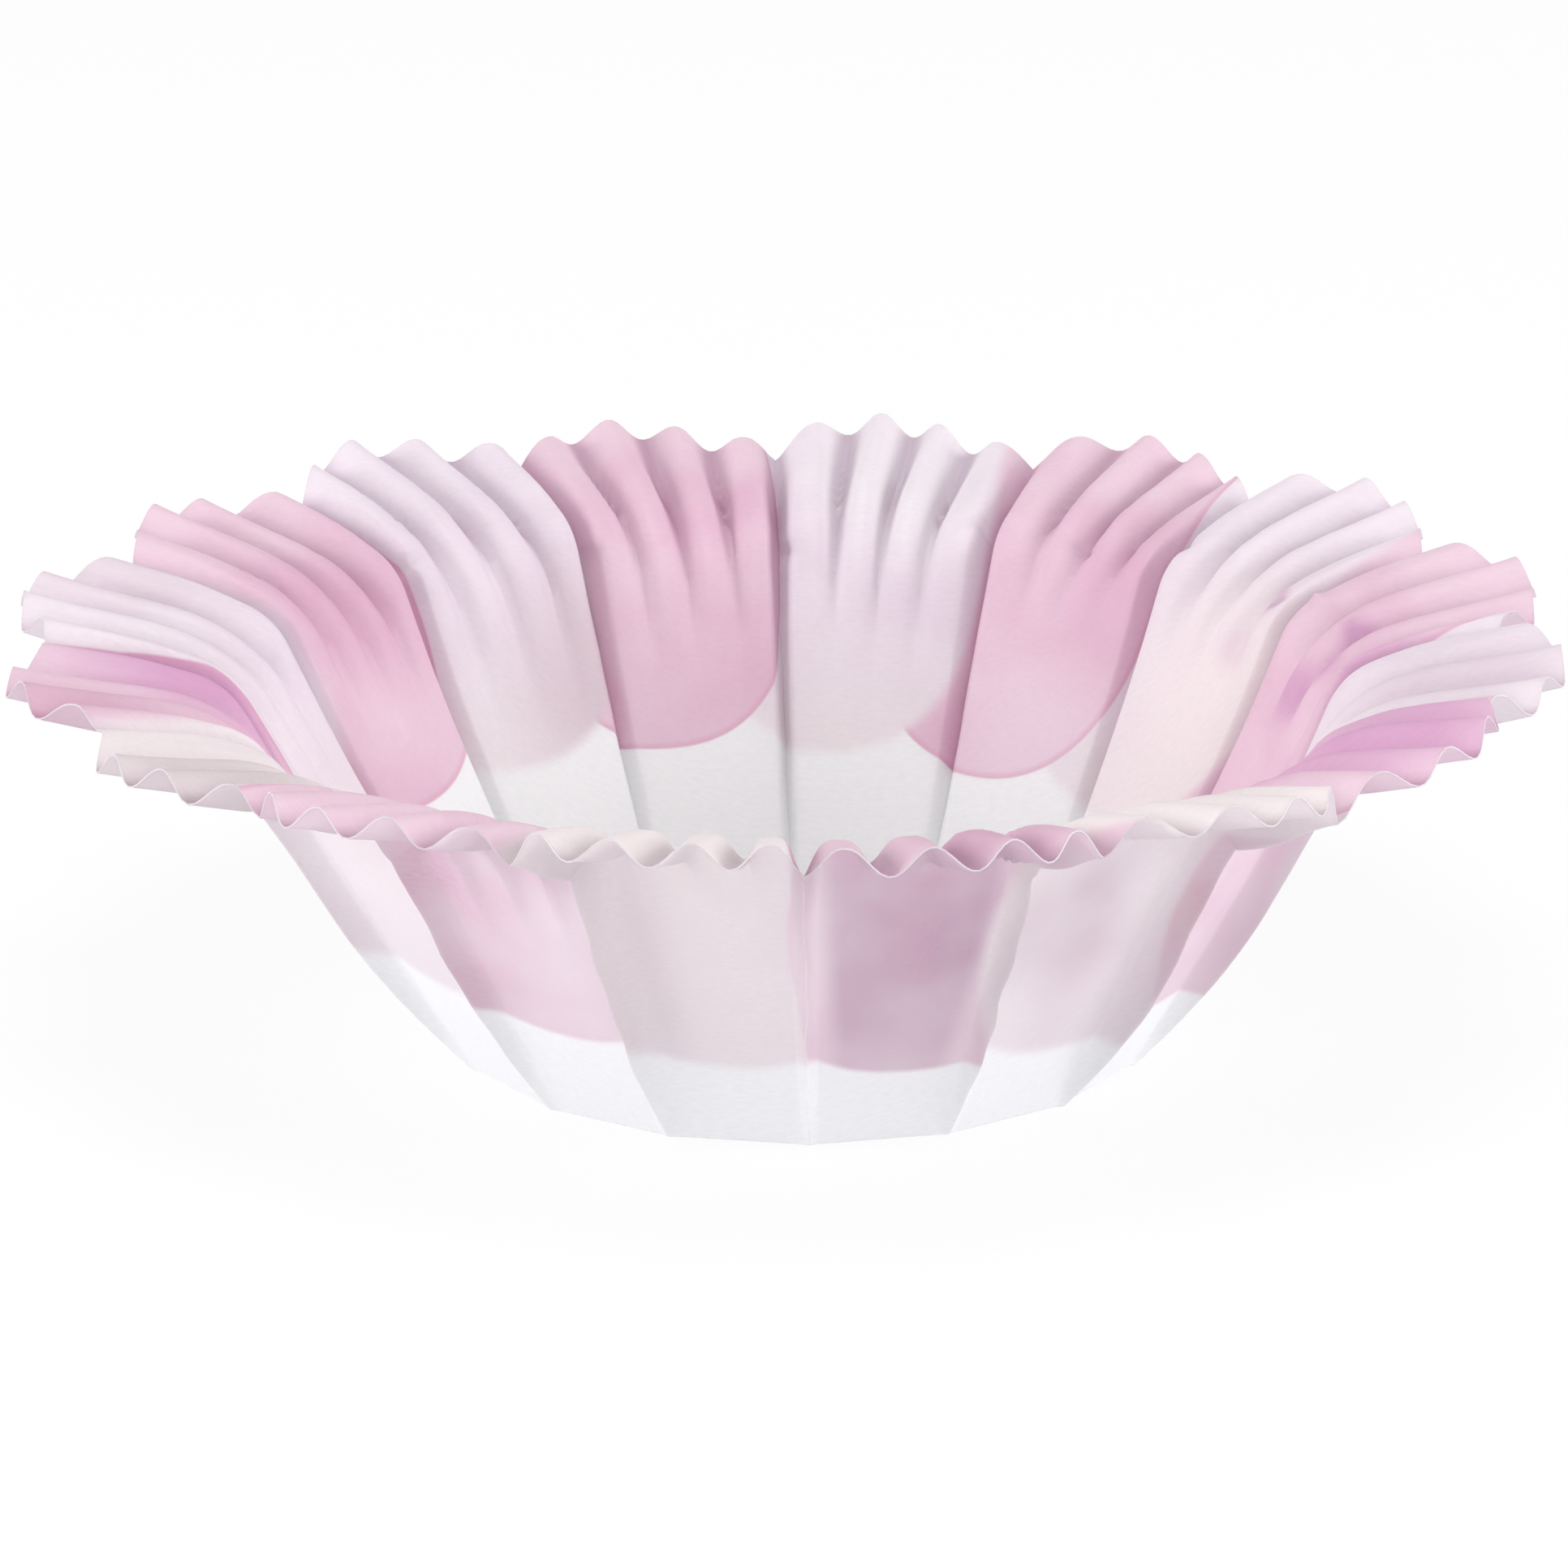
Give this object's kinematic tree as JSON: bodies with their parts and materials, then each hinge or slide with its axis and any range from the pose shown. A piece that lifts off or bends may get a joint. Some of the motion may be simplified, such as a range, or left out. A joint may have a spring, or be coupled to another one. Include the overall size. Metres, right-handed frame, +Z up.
{
  "type": "cupcake liner",
  "caption": "Pleated paper cupcake liner with a flat base and a wide flared rim of crimped petals, printed with overlapping pink and white petals.",
  "frame": {"origin": "centre of the flat base, on the surface that it stands on", "axes": "+Z up along the cup's axis, out of its mouth; +X through a pleat; the picture looks along +Y, 18 degrees down"},
  "size_m": [0.1092, 0.1092, 0.0316],
  "materials": {
    "paper": "matt"
  },
  "bodies": {
    "root": {"liner": "paper"}
  },
  "joints": []
}
